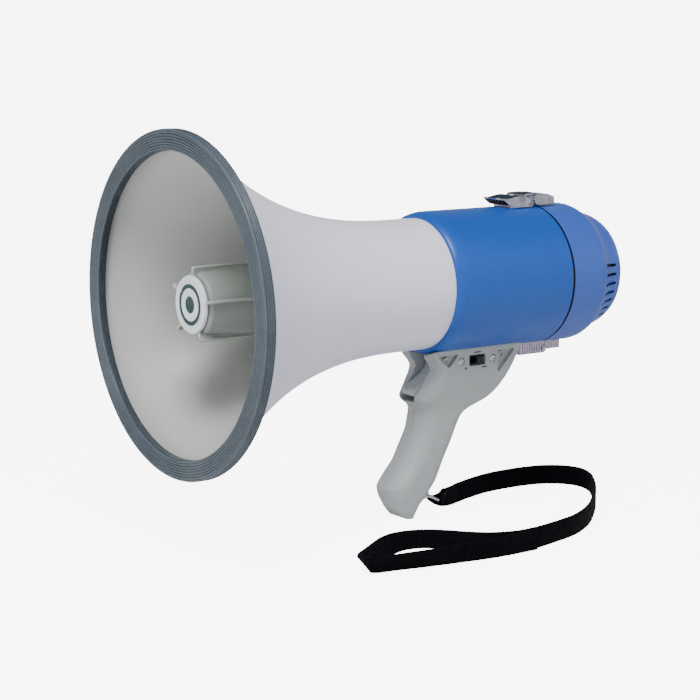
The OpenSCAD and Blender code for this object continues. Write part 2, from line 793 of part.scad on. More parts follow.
module cover_shell() {
  front = seam_gap / 2;
  slot_depth = 8;
  slot_z = 33.6;
  slot_len = 14.4;
  grille_r = 15;
  color([0.26, 0.46, 0.76]) on_axis() difference() {
    rotate_extrude($fn = 144) polygon(concat(
      [[body_r, front]], cover_outline(0),
      [[31.6, 62.6], [29.2, cover_len - 2], [24.6, cover_len - 0.4], [20.5, cover_len], [0, cover_len],
       [0, cover_len - body_wall], [20, cover_len - body_wall], [24, cover_len - body_wall - 0.6], [28.2, 61.9]],
      [for (i = [13:-1:0]) cover_outline(body_wall)[i]],
      [[inner_r, front]]
    ));
    for (side = [0, 180], i = [0:slot_count - 1])
      rotate([0, 0, side + (side == 0 ? 1 : -1) * (-slot_top + i * slot_pitch)])
        translate([body_r - 8 - slot_depth / 2, -slot_w / 2, slot_z]) cube([slot_depth + 9, slot_w, slot_len]);
    translate([0, 5, cover_len - 5]) cylinder(r = grille_r, h = 10);
    translate([0, -21.5, cover_len - 5]) cylinder(r = 3.4, h = 10, $fn = 48);
  }
}

module vent_screen() {
  color([0.08, 0.08, 0.09]) on_axis() rotate_extrude() polygon(concat(
    [for (i = [2:8]) cover_outline(body_wall + 0.1)[i]],
    [for (i = [8:-1:2]) cover_outline(body_wall + 0.7)[i]]
  ));
}

module mic_grille() {
  hole_r = 0.9;
  color([0.1, 0.1, 0.11]) on_axis() translate([0, 5, 0]) difference() {
    union() {
      translate([0, 0, cover_len - body_wall - 1]) cylinder(r = 14.9, h = body_wall + 1.6);
      translate([0, 0, cover_len]) cylinder(r = 16.4, h = 1);
    }
    translate([0, 0, cover_len - body_wall - 2]) cylinder(r = 13.2, h = body_wall + 1.6);
    for (k = [1:4], i = [0:6 * k - 1])
      rotate([0, 0, i * 60 / k]) translate([k * 2.7, 0, cover_len - 4]) cylinder(r = hole_r, h = 8, $fn = 16);
    translate([0, 0, cover_len - 4]) cylinder(r = hole_r, h = 8, $fn = 16);
  }
}

module mic_holder() {
  color([0.2, 0.2, 0.21]) on_axis() translate([0, 5, 0])
    tube(cover_len - 12, cover_len - body_wall - 1.1, 13, 5.1);
}

module mic_capsule() {
  color([0.7, 0.71, 0.72]) on_axis() translate([0, 5, cover_len - 10.6]) cylinder(r = 5, h = 6.4);
}

module volume_pot() {
  color([0.35, 0.36, 0.38]) on_axis() translate([0, -21.5, 0]) union() {
    translate([0, 0, cover_len - 14]) cylinder(r = 7, h = 8.8);
    translate([0, 0, cover_len - 5.3]) cylinder(r = 3.3, h = 7.3, $fn = 48);
  }
}

module volume_knob() {
  knob_r = 6.8;
  base = cover_len + 0.5;
  color([0.1, 0.1, 0.11]) on_axis() translate([0, -21.5, 0]) difference() {
    union() {
      translate([0, 0, base]) cylinder(r = knob_r, h = 6.4);
      translate([0, 0, base + 6.4]) cylinder(r1 = knob_r, r2 = knob_r - 0.8, h = 0.8);
    }
    translate([0, 0, base - 1]) cylinder(r = 3.35, h = 3, $fn = 48);
    for (i = [0:23])
      rotate([0, 0, i * 15]) translate([knob_r + 0.1, 0, base + 1]) cylinder(r = 0.45, h = 8, $fn = 16);
    translate([-0.5, -knob_r, base + 6.8]) cube([1, 5, 1]);
  }
}

module contact_board() {
  color([0.15, 0.15, 0.16]) on_axis() tube(2.4, 4.4, inner_r - 0.2, 9);
}

module cover_contacts() {
  color([0.78, 0.66, 0.38]) on_axis() around_cells() translate([0, 0, 1.9]) cylinder(r = 6, h = 0.5, $fn = 48);
}

// ---- Strap clip and strap ----

module on_foot() {
  translate([0, clip_y, clip_z]) rotate([clip_tilt, 0, 0]) children();
}

module clip_bracket() {
  color([0.82, 0.83, 0.85]) difference() {
    union() {
      on_foot() translate([-clip_w / 2, -11, -1.6]) cube([clip_w, clip_len, 1.2]);
      both_sides() slab(4.6, 5.8) polygon([[-8.2, -38.2], [-3.8, -38.6], [-3.4, -41.5], [-4.2, -43.4], [-6, -43.8],
                                           [-12.2, -44.8], [-12, -44]]);
    }
    on_foot() translate([0, -5, -4]) cylinder(r = 1.5, h = 6, $fn = 32);
    on_foot() translate([-clip_w, -12, -0.42]) cube([2 * clip_w, clip_len + 4, 8]);
    rod_x(-20, 20, ring_y, ring_z, ring_wire + 0.05);
  }
}

module clip_screw() {
  color([0.8, 0.8, 0.82]) on_foot() translate([0, -5, -3.2]) rotate([180, 0, 0]) pan_screw(2.8, 1.5, 8);
}

module strap_ring() {
  color([0.78, 0.79, 0.81]) translate([0, ring_y, ring_z]) rotate([ring_tilt, 0, 0]) {
    for (y = [0, ring_len])
      rod_x(-ring_half, ring_half, y, 0, ring_wire);
    both_sides() translate([ring_half, ring_len, 0]) rotate([90, 0, 0]) cylinder(r = ring_wire, h = ring_len, $fn = 48);
    both_sides() for (y = [0, ring_len])
      translate([ring_half, y, 0]) sphere(r = ring_wire, $fn = 48);
  }
}

// Middle line of the strap on the floor in X and Y, and how far the webbing leans from upright
laid = [
  [-3, 23, 12], [-7.5, 33, 0], [-14, 51, 0], [-19, 70, 0], [-20.5, 89, 0], [-19.5, 107, 0], [-15.5, 123, 0],
  [-6, 135, 0], [7.5, 140, 0], [24, 135, 0], [40, 124, 0], [59, 108.5, 0], [78.5, 89, 0], [97.5, 67, 0],
  [112, 42, 0], [119.5, 16, 0], [123.6, -4.6, 4], [124, -20, 14], [116, -35, 28], [101, -45, 40],
  [87, -53, 46], [76.6, -64, 48], [73.3, -78, 48], [76.7, -91, 47], [85.7, -105, 46], [95.6, -119, 45],
  [103, -129, 42], [109, -133, 38], [115, -127.6, 34], [117.5, -112, 30], [122, -90, 26], [125.5, -67, 22],
  [128, -45, 16], [128, -29.6, 9], [127, -18, 3], [126.2, -4.5, 0]
];

// Height of the middle line where the webbing rests on its lower edge
function rest_z(lean) = floor_z + 0.1 + strap_w / 2 * cos(lean) + strap_t / 2 * sin(lean);

// The whole middle line, from the ring's rod down to the floor and along it
route = concat(
  [[0, 3.9, -45.6, 90], [0, 9.5, -46.2, 60], [-0.5, 15, -46.9, 35]],
  [for (p = laid) [p[0], p[1], rest_z(p[2]), p[2]]]
);

function spline(a, b, c, d, t) =
  0.5 * (2 * b + (c - a) * t + (2 * a - 5 * b + 4 * c - d) * t * t + (3 * b - a - 3 * c + d) * t * t * t);

last = len(route) - 1;
function at(i) = route[max(0, min(last, i))];
path = [for (i = [0:last - 1], t = [0, 0.5]) spline(at(i - 1), at(i), at(i + 1), at(i + 2), t), route[last]];

// Outline of the webbing across its run: a flat band with rounded edges
band = [[-0.5, -0.42], [-0.32, -0.5], [0.32, -0.5], [0.5, -0.42], [0.5, 0.42], [0.32, 0.5], [-0.32, 0.5], [-0.5, 0.42]];

function heading(i) =
  let (a = path[max(0, i - 1)], b = path[min(len(path) - 1, i + 1)], d = [b[0] - a[0], b[1] - a[1]])
  d / norm(d);

function band_ring(i) =
  let (p = path[i], d = heading(i), side = [d[1], -d[0]], lean = p[3])
  [for (q = band)
    let (s = q[0] * strap_t * cos(lean) + q[1] * strap_w * sin(lean),
         h = q[1] * strap_w * cos(lean) - q[0] * strap_t * sin(lean))
    [p[0] + side[0] * s, p[1] + side[1] * s, p[2] + h]];

module strap() {
  n = len(band);
  rows = len(path);
  points = [for (i = [0:rows - 1]) each band_ring(i)];
  start = [for (j = [n - 1:-1:0]) j];
  end = [for (j = [0:n - 1]) (rows - 1) * n + j];
  sides = [for (i = [0:rows - 2], j = [0:n - 1], k = [0, 1])
    let (a = i * n + j, b = i * n + (j + 1) % n)
    k == 0 ? [a, b, a + n] : [b, b + n, a + n]];
  color([0.08, 0.08, 0.11]) polyhedron(points = points, faces = concat([start], [end], sides), convexity = 8);
}

horn_bell();
rim_guard();
reflex_cup();
cup_fins();
centre_badge();
throat_tube();
horn_backplate();
driver_plate();
diaphragm();
voice_coil();
driver_magnet();
driver_yoke();
driver_cover();
main_housing();
seam_gasket();
battery_tray();
battery_cells();
cell_caps();
tray_contacts();
contact_springs();
amp_board();
board_parts();
output_transformer();
wiring();
handle_left();
handle_right();
handle_screws();
pocket_screws();
switch_screws();
slide_switch();
switch_knob();
trigger();
trigger_pin();
trigger_spring();
micro_switch();
latch_base();
latch_lever();
latch_pin();
hook_pin();
latch_hook();
latch_keeper();
hinge_base();
hinge_pin();
hinge_leaf();
cover_shell();
vent_screen();
mic_grille();
mic_holder();
mic_capsule();
volume_pot();
volume_knob();
contact_board();
cover_contacts();
clip_bracket();
clip_screw();
strap_ring();
strap();
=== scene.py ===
# Looks of the handheld megaphone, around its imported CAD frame. Metres, +Z up, mouth towards -Y.
import json
import math

import bpy
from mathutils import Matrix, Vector


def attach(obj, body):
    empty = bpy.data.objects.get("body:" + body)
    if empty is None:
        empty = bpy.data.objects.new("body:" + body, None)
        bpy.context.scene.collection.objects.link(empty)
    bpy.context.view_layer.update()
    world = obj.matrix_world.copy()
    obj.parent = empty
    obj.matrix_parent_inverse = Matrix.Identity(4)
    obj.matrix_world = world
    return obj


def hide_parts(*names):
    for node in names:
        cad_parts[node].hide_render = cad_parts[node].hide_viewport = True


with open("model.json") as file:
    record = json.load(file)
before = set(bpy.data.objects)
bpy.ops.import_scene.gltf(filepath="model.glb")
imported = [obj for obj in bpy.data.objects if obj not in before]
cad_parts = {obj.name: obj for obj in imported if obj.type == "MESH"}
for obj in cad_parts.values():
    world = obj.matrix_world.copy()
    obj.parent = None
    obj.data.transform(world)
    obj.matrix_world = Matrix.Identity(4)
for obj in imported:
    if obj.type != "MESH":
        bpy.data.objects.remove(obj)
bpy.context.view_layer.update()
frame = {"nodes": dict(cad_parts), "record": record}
NODES = frame["nodes"]

AXIS_Z = 0.112              # height of the horn's axis
SEAM_Y = 0.092              # seam of the rear cover
MOUTH_Y = SEAM_Y - 0.3034   # front of the rim guard
BODY_R = 0.051              # outer radius of the housing and the cover
FLOOR_Z = -0.055
MM = 0.001


# ---- Camera ----

def look_from(name, place, azimuth, elevation, lens):
    az, el = math.radians(azimuth), math.radians(elevation)
    back = Vector((math.sin(az) * math.cos(el), -math.cos(az) * math.cos(el), math.sin(el)))
    data = bpy.data.cameras.new(name)
    data.lens = lens
    data.sensor_width = 36
    data.clip_start = 0.05
    data.clip_end = 60
    camera = bpy.data.objects.new(name, data)
    camera.rotation_euler = (-back).to_track_quat("-Z", "Y").to_euler()
    camera.location = place
    bpy.context.scene.collection.objects.link(camera)
    return camera


bpy.context.scene.camera = look_from("camera", (1.0728, -0.8212, 0.2880), 54.97, 9.45, 98.32)


# ---- Strap ----

STRAP_W = 0.015
STRAP_T = 0.002
# Middle line of the strap near its ring: X, Y, Z in millimetres and its lean from upright in degrees
HUNG = [(0, 3.9, -45.6, 82), (0, 9.5, -46.2, 42), (-0.5, 15, -46.9, 16)]
# The rest of it, standing on the floor: X, Y and lean
LAID = [
    (-3, 23, 5), (-7.5, 33, 0), (-14, 51, 0), (-19, 70, 0), (-20.5, 89, 0), (-19.5, 107, 0), (-15.5, 123, 0),
    (-6, 135, 0), (7.5, 140, 0), (24, 135, 0), (40, 124, 0), (59, 108.5, 0), (78.5, 89, 0), (97.5, 67, 0),
    (112, 42, 0), (119.5, 16, 0), (123.6, -4.6, 4), (124, -20, 14), (116, -35, 28), (101, -45, 40),
    (87, -53, 46), (76.6, -64, 48), (73.3, -78, 48), (76.7, -91, 47), (85.7, -105, 46), (95.6, -119, 45),
    (103, -129, 42), (109, -133, 38), (115, -127.6, 34), (117.5, -112, 30), (122, -90, 26), (125.5, -67, 22),
    (128, -45, 16), (128, -29.6, 9), (127, -18, 3), (126.2, -4.5, 0),
]


def rest_z(lean):
    """Height in millimetres of the middle line where the webbing stands on its lower edge."""
    a = math.radians(lean)
    return 1000 * (FLOOR_Z + 0.0001 + STRAP_W / 2 * math.cos(a) + STRAP_T / 2 * math.sin(a))


def smooth_path(points, steps):
    """Points on a Catmull-Rom curve through the given ones, as rows of numbers."""
    rows = []
    last = len(points) - 1
    for i in range(last):
        a, b, c, d = (points[max(0, min(last, k))] for k in (i - 1, i, i + 1, i + 2))
        for s in range(steps):
            t = s / steps
            rows.append(tuple(
                0.5 * (2 * q + (r - p) * t + (2 * p - 5 * q + 4 * r - w) * t ** 2
                       + (3 * q - p - 3 * r + w) * t ** 3)
                for p, q, r, w in zip(a, b, c, d)))
    rows.append(tuple(points[last]))
    return rows


PATH_STEPS = 6      # rows of the strap's line between two given points
route = HUNG + [(x, y, rest_z(lean), lean) for x, y, lean in LAID]
strap_line = [(Vector(p[:3]) / 1000, math.radians(p[3])) for p in smooth_path(route, PATH_STEPS)]


def mesh_object(name, verts, faces, smooth=True):
    data = bpy.data.meshes.new(name)
    data.from_pydata([tuple(v) for v in verts], [], faces)
    data.validate()
    data.polygons.foreach_set("use_smooth", [smooth] * len(data.polygons))
    obj = bpy.data.objects.new(name, data)
    bpy.context.scene.collection.objects.link(obj)
    return obj


def loft(rings, closed_ends=True):
    """Vertices and faces of a closed tube through rings of equal length."""
    n = len(rings[0])
    verts = [p for ring in rings for p in ring]
    faces = []
    for i in range(len(rings) - 1):
        for j in range(n):
            k = (j + 1) % n
            faces.append((i * n + j, i * n + k, (i + 1) * n + k, (i + 1) * n + j))
    if closed_ends:
        faces.append(tuple(range(n - 1, -1, -1)))
        faces.append(tuple(range((len(rings) - 1) * n, len(rings) * n)))
    return verts, faces


def webbing_outline(width, thickness, ribs=13, per_rib=5):
    """Outline of woven webbing across its run: lengthwise ribs on both faces and round selvedges."""
    half, flat = width / 2, width / 2 - thickness * 0.55
    rib_depth = thickness * 0.07
    top = []
    count = ribs * per_rib
    for i in range(count + 1):
        u = -flat + 2 * flat * i / count
        dip = rib_depth * (0.5 - 0.5 * math.cos(2 * math.pi * i / per_rib))
        top.append((u, thickness / 2 - dip))
    bottom = [(u, -v) for u, v in reversed(top)]
    edge = [(flat + (half - flat) * math.sin(math.radians(a)), thickness / 2 * math.cos(math.radians(a)))
            for a in range(20, 180, 20)]
    other = [(-u, -v) for u, v in edge]
    return top + edge + bottom + other


def frame_at(line, i):
    """Place, direction across the webbing and direction out of its face at one step of (point, lean) rows."""
    p, lean = line[i]
    a, b = line[max(0, i - 1)][0], line[min(len(line) - 1, i + 1)][0]
    run = Vector((b.x - a.x, b.y - a.y, 0)).normalized()
    side = Vector((run.y, -run.x, 0))
    across = side * math.sin(lean) + Vector((0, 0, math.cos(lean)))
    out = side * math.cos(lean) - Vector((0, 0, math.sin(lean)))
    return p, across, out


def band(line, outline, offset=0.0):
    """Rings of an outline swept along (point, lean) rows; the band stands on edge where lean is 0."""
    rings = []
    for i in range(len(line)):
        p, across, out = frame_at(line, i)
        rings.append([p + across * u + out * (v + offset) for u, v in outline])
    return rings


def join(parts):
    """Vertices and faces of several lofts as one mesh."""
    verts, faces = [], []
    for v, f in parts:
        start = len(verts)
        verts += v
        faces += [tuple(start + k for k in face) for face in f]
    return verts, faces


strap = mesh_object("strap_webbing", *loft(band(strap_line, webbing_outline(STRAP_W, STRAP_T))))
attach(strap, "megaphone")
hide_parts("strap")

# The strap's end is folded round the ring's rod and sewn to itself
FOLD_T = 0.0009
FOLD_W = STRAP_W - 0.0008
FOLD_STEPS = 12                                     # rows of the strap's line that the fold covers
ROD_Y, ROD_Z, ROD_R = 0.00287, -0.04553, 0.00100    # rod of the ring that the fold goes round
TURN_FROM, TURN_BY, TURN_STEPS = 84, 192, 12        # degrees round the rod
fold_outline = webbing_outline(FOLD_W, FOLD_T, 12)
fold_off = (STRAP_T + FOLD_T) / 2
fold_line = strap_line[:FOLD_STEPS]
turn = []
for i in range(TURN_STEPS + 1):
    a = math.radians(TURN_FROM + TURN_BY * i / TURN_STEPS)
    out_dir = Vector((0, math.cos(a), math.sin(a)))
    middle = Vector((0, ROD_Y, ROD_Z)) + out_dir * (ROD_R + FOLD_T / 2)
    turn.append([middle + Vector((u, 0, 0)) + out_dir * v for u, v in fold_outline])
fold = mesh_object("strap_fold", *join([
    loft(turn),
    loft(band(fold_line, fold_outline, fold_off)),
    loft(band(fold_line, fold_outline, -fold_off)),
]))

THREAD_R = 0.00022
SEAM_IN = 0.0011        # distance of the seams from the webbing's edges
SEAM_FROM = 3           # first row of the strap's line that is sewn
LAST_ROW = FOLD_STEPS - 2
CROSS_STITCHES = 7      # stitches of a seam across the webbing
# Each thread's section: share of its length, height in radii and size in radii
THREAD_ARCH = ((0, -0.6, 0.7), (0.15, 0.25, 1), (0.5, 0.6, 1.1), (0.85, 0.25, 1), (1, -0.6, 0.7))


def on_fold(i, u, sign):
    """Point on one outer face of the fold and the direction out of that face; u runs across the webbing."""
    p, across, out = frame_at(strap_line, i)
    return p + across * u + out * sign * (STRAP_T / 2 + FOLD_T), out * sign


def stitch(start, end):
    """One thread between two points on the fold, slightly arched over the webbing."""
    (p, out), (q, _) = start, end
    a, b = p.lerp(q, 0.1), p.lerp(q, 0.9)
    side = (b - a).normalized().cross(out).normalized()
    rings = []
    for t, rise, size in THREAD_ARCH:
        middle = a.lerp(b, t) + out * THREAD_R * rise
        rings.append([
            middle + (side * math.cos(math.radians(d)) + out * math.sin(math.radians(d))) * THREAD_R * size
            for d in range(0, 360, 60)])
    return loft(rings)


stitches = []
reach = FOLD_W / 2 - SEAM_IN
step = 2 * reach / CROSS_STITCHES
for sign in (1, -1):
    for i in range(SEAM_FROM, LAST_ROW, 2):
        for u in (-reach, reach):
            stitches.append(stitch(on_fold(i, u, sign), on_fold(i + 2, u, sign)))
    for i in (SEAM_FROM, LAST_ROW):
        for k in range(CROSS_STITCHES):
            u = -reach + step * k
            stitches.append(stitch(on_fold(i, u, sign), on_fold(i, u + step, sign)))
seams = mesh_object("strap_stitches", *join(stitches))
for piece in (fold, seams):
    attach(piece, "megaphone")


# ---- Rim guard with its fine ridges ----

# All in millimetres: ridges on the front face, from a radius, over a width, at a pitch
RIDGES_FROM, RIDGES_WIDTH, RIDGE_PITCH, RIDGE_DEPTH = 102.4, 10.6, 1.77, 0.28
# Ridges round the outside, from a depth behind the mouth plane
SIDE_FROM, SIDE_WIDTH, SIDE_PITCH, SIDE_DEPTH = 1.8, 4.8, 1.6, 0.25
PER_RIDGE = 14
FRONT_ROWS = 6 * PER_RIDGE
SIDE_ROWS = 3 * PER_RIDGE


def arc(r, d, radius, start, end, step):
    """Rows of radius and depth on an arc about (r, d); 0 degrees points outwards and 90 backwards."""
    return [(r + radius * math.cos(math.radians(a)), d + radius * math.sin(math.radians(a)))
            for a in range(start, end, step)]


def rim_profile():
    """Radius and depth behind the mouth plane round the guard's section, in millimetres."""
    rows = [(101.0, 6.0), (101.0, 1.9)] + arc(102.2, 1.5, 1.2, 180, 271, 15)
    for i in range(1, FRONT_ROWS + 1):
        r = RIDGES_FROM + RIDGES_WIDTH * i / FRONT_ROWS
        wave = math.sin(2 * math.pi * (r - RIDGES_FROM) / RIDGE_PITCH)
        rows.append((r, 0.30 + RIDGE_DEPTH * wave))
    rows += arc(113.2, SIDE_FROM, 1.8, -80, 1, 10)
    for i in range(1, SIDE_ROWS + 1):
        d = SIDE_FROM + SIDE_WIDTH * i / SIDE_ROWS
        rows.append((114.75 + SIDE_DEPTH * math.cos(2 * math.pi * (d - SIDE_FROM) / SIDE_PITCH), d))
    rows += arc(113.8, 6.8, 1.2, 0, 91, 15)
    return rows + [(109.8, 8.0), (111.3, 5.9), (107.5, 6.0)]


def revolve(name, rows, steps):
    """Closed ring round the horn's axis from rows of radius and depth in millimetres."""
    n = len(rows)
    verts, faces = [], []
    for i in range(steps):
        a = 2 * math.pi * i / steps
        for r, d in rows:
            verts.append((r * MM * math.cos(a), MOUTH_Y + d * MM, AXIS_Z + r * MM * math.sin(a)))
        for j in range(n):
            k, m = (j + 1) % n, (i + 1) % steps
            faces.append((i * n + j, m * n + j, m * n + k, i * n + k))
    return mesh_object(name, verts, faces)


TURN_FACETS = 288
rim = revolve("rim_guard_ridged", rim_profile(), TURN_FACETS)
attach(rim, "megaphone")
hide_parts("rim_guard")


# ---- Black lip of the gasket, filling the seam between the housing and the cover; its black is partly painted shade for the seam ----

# In millimetres; the lip stands a trace proud of the housing and laps over its edge
LIP_R = 51.02
LIP_INNER_R = LIP_R - 1.4
LIP_FRONT, LIP_ROOT, LIP_REAR = -1.15, -0.7, 0.7        # behind the seam
ROUND = 0.1
seam_depth = (SEAM_Y - MOUTH_Y) / MM
lip_section = [(LIP_R - 0.15, LIP_FRONT), (LIP_R, LIP_FRONT + ROUND), (LIP_R, LIP_REAR - ROUND),
               (LIP_R - ROUND, LIP_REAR), (LIP_INNER_R, LIP_REAR), (LIP_INNER_R, LIP_ROOT)]
lip = revolve("gasket_lip_and_seam_shade", [(r, seam_depth + d) for r, d in lip_section], TURN_FACETS)
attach(lip, "megaphone")


# ---- Curved saddles between the hinge's leaves and the round bodies above them ----

KNUCKLE_HALF = 0.0058
SADDLE_EDGE = 0.0002    # size of its bevels, and how far its top sinks into the body above
SADDLE_STEPS = 30


def saddle(name, half, y0, y1, low, low_mid, body):
    """A block under the seam whose top fits the body above. Its length runs from y0 to y1 and its bottom
    is at low, or at low_mid over the knuckle, both measured from the horn's axis."""
    rings = []
    for i in range(SADDLE_STEPS + 1):
        x = half * (2 * i / SADDLE_STEPS - 1)
        top = AXIS_Z - math.sqrt(BODY_R ** 2 - x * x) + SADDLE_EDGE
        bottom = AXIS_Z + (low_mid if abs(x) < KNUCKLE_HALF else low)
        outline = ((y0 + SADDLE_EDGE, bottom), (y1 - SADDLE_EDGE, bottom), (y1, bottom + SADDLE_EDGE),
                   (y1, top), (y0, top), (y0, bottom + SADDLE_EDGE))
        rings.append([Vector((x, y, z)) for y, z in outline])
    piece = mesh_object(name, *loft(rings), smooth=False)
    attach(piece, body)
    return piece


saddles = [
    saddle("hinge_saddle_front", 0.017, SEAM_Y - 0.0027, SEAM_Y + 0.0002, -0.0525, -0.0517, "megaphone"),
    saddle("hinge_saddle_rear", 0.015, SEAM_Y + 0.0009, SEAM_Y + 0.0042, -0.05165, -0.05165, "rear_cover"),
]


# ---- Printed marks round the slide switch: two bars and a dot ----

FLANK_X = 0.0215        # the saddle's flank
PRINT_T = 0.00006
PRINT_ROOT = 0.0001     # how far the print reaches into the flank


def flat_mark(points):
    """A thin printed shape on the +X flank from its outline in Y and Z."""
    return loft([[Vector((FLANK_X + x, y, z)) for y, z in points] for x in (-PRINT_ROOT, PRINT_T)])


def disc(y, z, r):
    """Outline of a dot round a centre."""
    return [(y + r * math.cos(math.radians(a)), z + r * math.sin(math.radians(a))) for a in range(0, 360, 15)]


def bar(y, z, length, height):
    """Outline of a bar from its lower front corner."""
    return [(y, z), (y + length, z), (y + length, z + height), (y, z + height)]


marks = mesh_object("switch_marks", *join([flat_mark(bar(0.0240, 0.0618, 0.0062, 0.0009)),
                                           flat_mark(disc(0.0166, 0.0514, 0.0009)),
                                           flat_mark(bar(0.0310, 0.0506, 0.0046, 0.0009))]), smooth=False)
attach(marks, "megaphone")


# ---- Materials ----

class Finish:
    """A node-based material, built up from noise, bump and edge masks in object space."""

    def __init__(self, name, colour, rough, metal=0.0, **sockets):
        self.mat = bpy.data.materials.new(name)
        self.mat.use_nodes = True
        self.tree = self.mat.node_tree
        self.shader = self.tree.nodes["Principled BSDF"]
        self.colour = self.rgb(colour)
        self.rough = rough
        self.normal = None
        self.shader.inputs["Metallic"].default_value = metal
        for key, value in sockets.items():
            self.shader.inputs[key.replace("_", " ")].default_value = value
        self.place = self.add("ShaderNodeTexCoord").outputs["Object"]

    @staticmethod
    def rgb(c):
        return (*c, 1.0) if len(c) == 3 else tuple(c)

    def add(self, kind, inputs=None, **props):
        node = self.tree.nodes.new(kind)
        for key, value in props.items():
            setattr(node, key, value)
        for key, value in (inputs or {}).items():
            self.put(node.inputs[key], value)
        return node

    def put(self, socket, value):
        if isinstance(value, bpy.types.NodeSocket):
            self.tree.links.new(value, socket)
        elif value is not None:
            socket.default_value = value

    def noise(self, scale, detail=3.0, rough=0.5, place=None):
        values = {"Vector": place or self.place, "Scale": scale, "Detail": detail, "Roughness": rough}
        return self.add("ShaderNodeTexNoise", values).outputs["Fac"]

    def ramp(self, value, low, high, to_low=0.0, to_high=1.0):
        limits = {"Value": value, "From Min": low, "From Max": high, "To Min": to_low, "To Max": to_high}
        return self.add("ShaderNodeMapRange", limits).outputs["Result"]

    def math(self, operation, a, b=None, c=None, clamp=False):
        node = self.add("ShaderNodeMath", operation=operation, use_clamp=clamp)
        for socket, value in zip(node.inputs, (a, b, c)):
            self.put(socket, value)
        return node.outputs[0]

    def mix(self, fac, a, b, blend="MIX"):
        node = self.add("ShaderNodeMix", data_type="RGBA", blend_type=blend)
        for index, value in ((0, fac), (6, a), (7, b)):
            self.put(node.inputs[index], self.rgb(value) if isinstance(value, (tuple, list)) else value)
        return node.outputs[2]

    def tint(self, fac, colour, blend="MIX"):
        """Mixes another colour over what is there by fac."""
        self.colour = self.mix(fac, self.colour, colour, blend)
        return self

    def mottle(self, scale, amount, colour=(0, 0, 0), low=0.35, high=0.65):
        """Slow variation towards a colour."""
        return self.tint(self.ramp(self.noise(scale), low, high, 0, amount), colour)

    def gloss(self, scale, spread, detail=3.0):
        """Uneven roughness."""
        change = self.ramp(self.noise(scale, detail), 0.3, 0.7, -spread, spread)
        self.rough = self.math("ADD", self.rough, change)
        return self

    def round_edges(self, radius):
        self.normal = self.add("ShaderNodeBevel", {"Radius": radius}, samples=4).outputs["Normal"]
        return self

    def edge_mask(self, radius, low=0.02, high=0.25):
        """1 on edges, 0 on open faces."""
        near = self.add("ShaderNodeBevel", {"Radius": radius}, samples=4).outputs["Normal"]
        face = self.add("ShaderNodeNewGeometry").outputs["Normal"]
        dot = self.add("ShaderNodeVectorMath", operation="DOT_PRODUCT")
        self.put(dot.inputs[0], near)
        self.put(dot.inputs[1], face)
        return self.ramp(self.math("SUBTRACT", 1.0, dot.outputs["Value"]), low, high)

    def bump(self, height, depth, strength=1.0):
        node = self.add("ShaderNodeBump", {"Height": height, "Distance": depth, "Strength": strength})
        if self.normal is not None:
            self.put(node.inputs["Normal"], self.normal)
        self.normal = node.outputs["Normal"]
        return self

    def grain(self, scale, depth, detail=2.0, rough=0.5):
        return self.bump(self.noise(scale, detail, rough), depth)

    def split(self):
        """The object-space coordinates one by one."""
        node = self.add("ShaderNodeSeparateXYZ", {"Vector": self.place})
        return node.outputs

    def done(self):
        self.put(self.shader.inputs["Base Color"], self.colour)
        self.put(self.shader.inputs["Roughness"], self.rough)
        if self.normal is not None:
            self.put(self.shader.inputs["Normal"], self.normal)
        return self.mat


def from_axis(finish):
    """The vector from the horn's axis, square to it."""
    x, _, z = finish.split()
    up = finish.math("SUBTRACT", z, AXIS_Z)
    return finish.add("ShaderNodeCombineXYZ", {"X": x, "Y": 0.0, "Z": up}).outputs[0]


def axis_distance(finish):
    return finish.add("ShaderNodeVectorMath", {0: from_axis(finish)}, operation="LENGTH").outputs["Value"]


def waves_along(finish, value, pitch):
    """A sine wave of one pitch along a coordinate in metres."""
    return finish.math("SINE", finish.math("MULTIPLY", value, 2 * math.pi / pitch))


def speckles(finish, scale, detail, low, high, amount, colour):
    """Fine specks of another colour."""
    finish.tint(finish.ramp(finish.noise(scale, detail), low, high, 0, amount), colour)


def bell_plastic():
    f = Finish("bell_plastic", (0.87, 0.86, 1.0), 0.36, Specular_IOR_Level=0.45)
    own = f.add("ShaderNodeTexCoord").outputs["Normal"]
    unit = f.add("ShaderNodeVectorMath", {0: from_axis(f)}, operation="NORMALIZE").outputs["Vector"]
    facing = f.add("ShaderNodeVectorMath", {0: own, 1: unit}, operation="DOT_PRODUCT").outputs["Value"]
    # Painted shade: faces turned towards the horn's axis, within the bell, get a darker grey-green that
    # stands in for the weaker light there.
    inside_painted_shade = f.ramp(facing, 0.15, -0.15)
    f.tint(inside_painted_shade, (0.49, 0.505, 0.485))
    f.mottle(22, 0.04, (0.42, 0.42, 0.46))
    speckles(f, 2600, 1, 0.55, 0.75, 0.10, (0.30, 0.31, 0.30))
    speckles(f, 2100, 1, 0.55, 0.75, 0.12, (0.88, 0.87, 0.96))
    f.gloss(70, 0.05)
    f.round_edges(0.0006)
    f.grain(900, 0.00003, 2)
    f.grain(30, 0.00015, 1)
    return f.done()


def rim_rubber():
    f = Finish("rim_rubber", (0.054, 0.078, 0.098), 0.42, Specular_IOR_Level=0.4)
    f.mottle(35, 0.18, (0.20, 0.21, 0.24))
    waves = waves_along(f, f.math("SUBTRACT", axis_distance(f), RIDGES_FROM * MM), RIDGE_PITCH * MM)
    # Painted shade in the ridges' grooves and painted highlight on their crests, in step with the ridged
    # geometry.
    f.tint(f.ramp(waves, 0.1, 0.9, 0, 0.65), (0.016, 0.026, 0.040))
    f.tint(f.ramp(waves, -0.3, -1.0, 0, 0.30), (0.17, 0.19, 0.24))
    speckles(f, 900, 2, 0.55, 0.72, 0.18, (0.26, 0.27, 0.30))
    f.gloss(90, 0.07)
    f.grain(1100, 0.00004, 2)
    return f.done()


